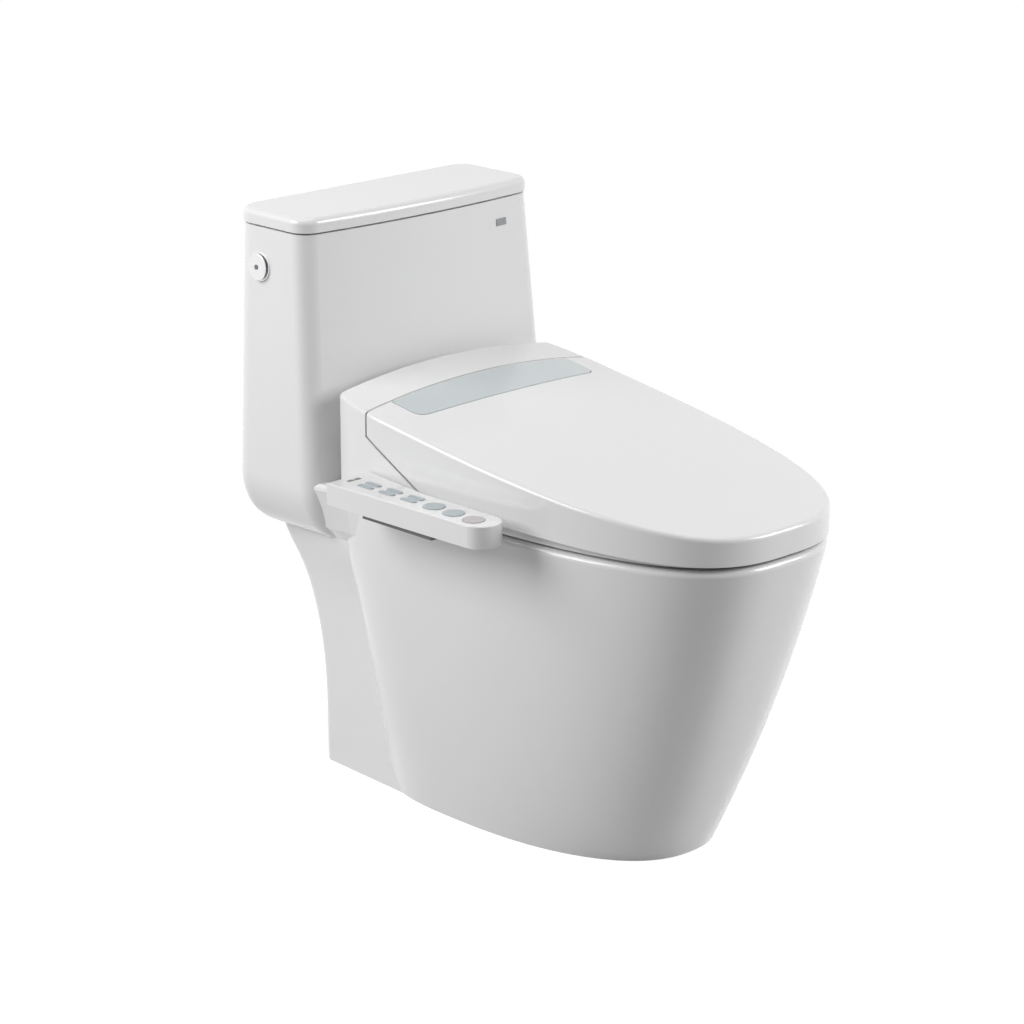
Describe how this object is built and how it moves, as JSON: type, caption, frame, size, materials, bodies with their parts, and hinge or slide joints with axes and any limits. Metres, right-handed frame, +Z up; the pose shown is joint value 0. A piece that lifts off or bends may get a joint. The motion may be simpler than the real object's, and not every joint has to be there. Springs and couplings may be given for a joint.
{
  "type": "smart toilet with heated seat",
  "caption": "Floor-standing toilet with a close-coupled tank, a heated bidet seat with a soft-close lid and ring, a side control arm with keys, and a push button on the tank's side.",
  "frame": {"origin": "centre of the waste outlet in the floor plane", "axes": "+Z up, -Y towards the front of the bowl, the control arm and the flush button on the -X side, which is the sitter's right hand"},
  "size_m": [0.4606, 0.7417, 0.7265],
  "materials": {
    "china": "gloss glaze",
    "seat_plastic": "gloss",
    "strip": "gloss",
    "key": "satin",
    "stop_key": "satin",
    "marking": "satin",
    "badge": "satin",
    "dark_rubber": "matte",
    "seal_rubber": "matte",
    "clear_rubber": "satin",
    "technical_plastic": "satin",
    "float_plastic": "satin",
    "nozzle_plastic": "gloss",
    "board": "satin",
    "heater_foil": "satin",
    "steel": "brushed",
    "plated": "polished"
  },
  "bodies": {
    "toilet": {"china_tank": "china", "china_deck": "china", "china_bowl": "china", "china_ducts": "china", "china_outlet": "china", "china_foot": "china", "tank_badge": "badge", "outlet_gasket": "seal_rubber", "button_bezel": "plated", "button_nut": "technical_plastic", "valve_gasket": "seal_rubber", "flush_valve_body": "technical_plastic", "fill_valve_body": "technical_plastic", "fill_valve_washer": "seal_rubber", "fill_valve_nut": "technical_plastic", "refill_tube": "clear_rubber", "flush_cable": "seal_rubber", "rear_housing": "seat_plastic", "hinge_pins": "steel", "soft_close_dampers": "technical_plastic", "mounting_plate": "technical_plastic", "seat_bolts": "steel", "seat_bolt_nuts": "technical_plastic", "seat_base": "seat_plastic", "nozzle_holder": "technical_plastic", "water_heater": "technical_plastic", "valve_block": "technical_plastic", "circuit_board": "board", "water_inlet": "plated", "cord_gland": "seal_rubber", "panel_case": "seat_plastic", "panel_top": "seat_plastic", "panel_display": "marking", "panel_board": "board", "panel_pad": "dark_rubber"},
    "tank_cover": {"tank_lid": "china", "tank_lid_pads": "clear_rubber"},
    "push_button": {"flush_button": "plated", "button_dot": "marking"},
    "canister": {"flush_canister": "technical_plastic", "canister_seal": "seal_rubber"},
    "float": {"fill_valve_float": "float_plastic"},
    "lid": {"seat_lid": "seat_plastic", "accent_strip": "strip", "lid_bumpers": "clear_rubber"},
    "ring": {"seat_ring": "seat_plastic", "seat_ring_base": "seat_plastic", "seat_heater": "heater_foil", "ring_bumpers": "clear_rubber"},
    "nozzle_a": {"rear_nozzle": "nozzle_plastic"},
    "nozzle_b": {"front_nozzle": "nozzle_plastic"},
    "key_outer_rear": {"outer_key_rear": "key"},
    "key_outer_middle": {"outer_key_middle": "key"},
    "key_outer_front": {"outer_key_front": "key"},
    "key_inner_rear": {"inner_key_rear": "key"},
    "key_inner_middle": {"inner_key_middle": "key"},
    "key_inner_front": {"inner_key_front": "key"},
    "key_round_rear": {"round_key_rear": "key"},
    "key_round_middle": {"round_key_middle": "key"},
    "key_round_front": {"round_key_front": "stop_key"}
  },
  "joints": [
    {"name": "tank_cover_lift", "type": "slide", "parent": "toilet", "child": "tank_cover", "axis": [0, 0, 1], "range_m": [0, 0.05]},
    {"name": "canister_lift", "type": "slide", "parent": "toilet", "child": "canister", "axis": [0, 0, 1], "range_m": [0, 0.025]},
    {"name": "button_press", "type": "slide", "parent": "toilet", "child": "push_button", "axis": [0.9991, 0, -0.0435], "range_m": [0, 0.003], "stiffness_N_per_m": 150},
    {"name": "float_rise", "type": "slide", "parent": "toilet", "child": "float", "axis": [0, 0, 1], "range_m": [0, 0.055]},
    {"name": "lid_hinge", "type": "hinge", "parent": "toilet", "child": "lid", "pos_m": [0, 0.045, 0.503], "axis": [-1, 0, 0], "range_deg": [0, 102]},
    {"name": "ring_hinge", "type": "hinge", "parent": "toilet", "child": "ring", "pos_m": [0, 0.045, 0.503], "axis": [-1, 0, 0], "range_deg": [0, 97]},
    {"name": "rear_nozzle_slide", "type": "slide", "parent": "toilet", "child": "nozzle_a", "axis": [0, -0.9659, -0.2588], "range_m": [0, 0.078]},
    {"name": "front_nozzle_slide", "type": "slide", "parent": "toilet", "child": "nozzle_b", "axis": [0, -0.9659, -0.2588], "range_m": [0, 0.078]},
    {"name": "outer_key_rear_press", "type": "slide", "parent": "toilet", "child": "key_outer_rear", "axis": [0, 0, -1], "range_m": [0, 0.0008], "stiffness_N_per_m": 500, "springref_m": -0.0005},
    {"name": "outer_key_middle_press", "type": "slide", "parent": "toilet", "child": "key_outer_middle", "axis": [0, 0, -1], "range_m": [0, 0.0008], "stiffness_N_per_m": 500, "springref_m": -0.0005},
    {"name": "outer_key_front_press", "type": "slide", "parent": "toilet", "child": "key_outer_front", "axis": [0, 0, -1], "range_m": [0, 0.0008], "stiffness_N_per_m": 500, "springref_m": -0.0005},
    {"name": "inner_key_rear_press", "type": "slide", "parent": "toilet", "child": "key_inner_rear", "axis": [0, 0, -1], "range_m": [0, 0.0008], "stiffness_N_per_m": 500, "springref_m": -0.0005},
    {"name": "inner_key_middle_press", "type": "slide", "parent": "toilet", "child": "key_inner_middle", "axis": [0, 0, -1], "range_m": [0, 0.0008], "stiffness_N_per_m": 500, "springref_m": -0.0005},
    {"name": "inner_key_front_press", "type": "slide", "parent": "toilet", "child": "key_inner_front", "axis": [0, 0, -1], "range_m": [0, 0.0008], "stiffness_N_per_m": 500, "springref_m": -0.0005},
    {"name": "round_key_rear_press", "type": "slide", "parent": "toilet", "child": "key_round_rear", "axis": [0, 0, -1], "range_m": [0, 0.0008], "stiffness_N_per_m": 500, "springref_m": -0.0005},
    {"name": "round_key_middle_press", "type": "slide", "parent": "toilet", "child": "key_round_middle", "axis": [0, 0, -1], "range_m": [0, 0.0008], "stiffness_N_per_m": 500, "springref_m": -0.0005},
    {"name": "round_key_front_press", "type": "slide", "parent": "toilet", "child": "key_round_front", "axis": [0, 0, -1], "range_m": [0, 0.0008], "stiffness_N_per_m": 500, "springref_m": -0.0005}
  ],
  "couplings": [
    {"joint": "ring_hinge", "follows": "lid_hinge", "ratio": 0.95},
    {"joint": "button_press", "follows": "canister_lift", "ratio": 0.12}
  ]
}
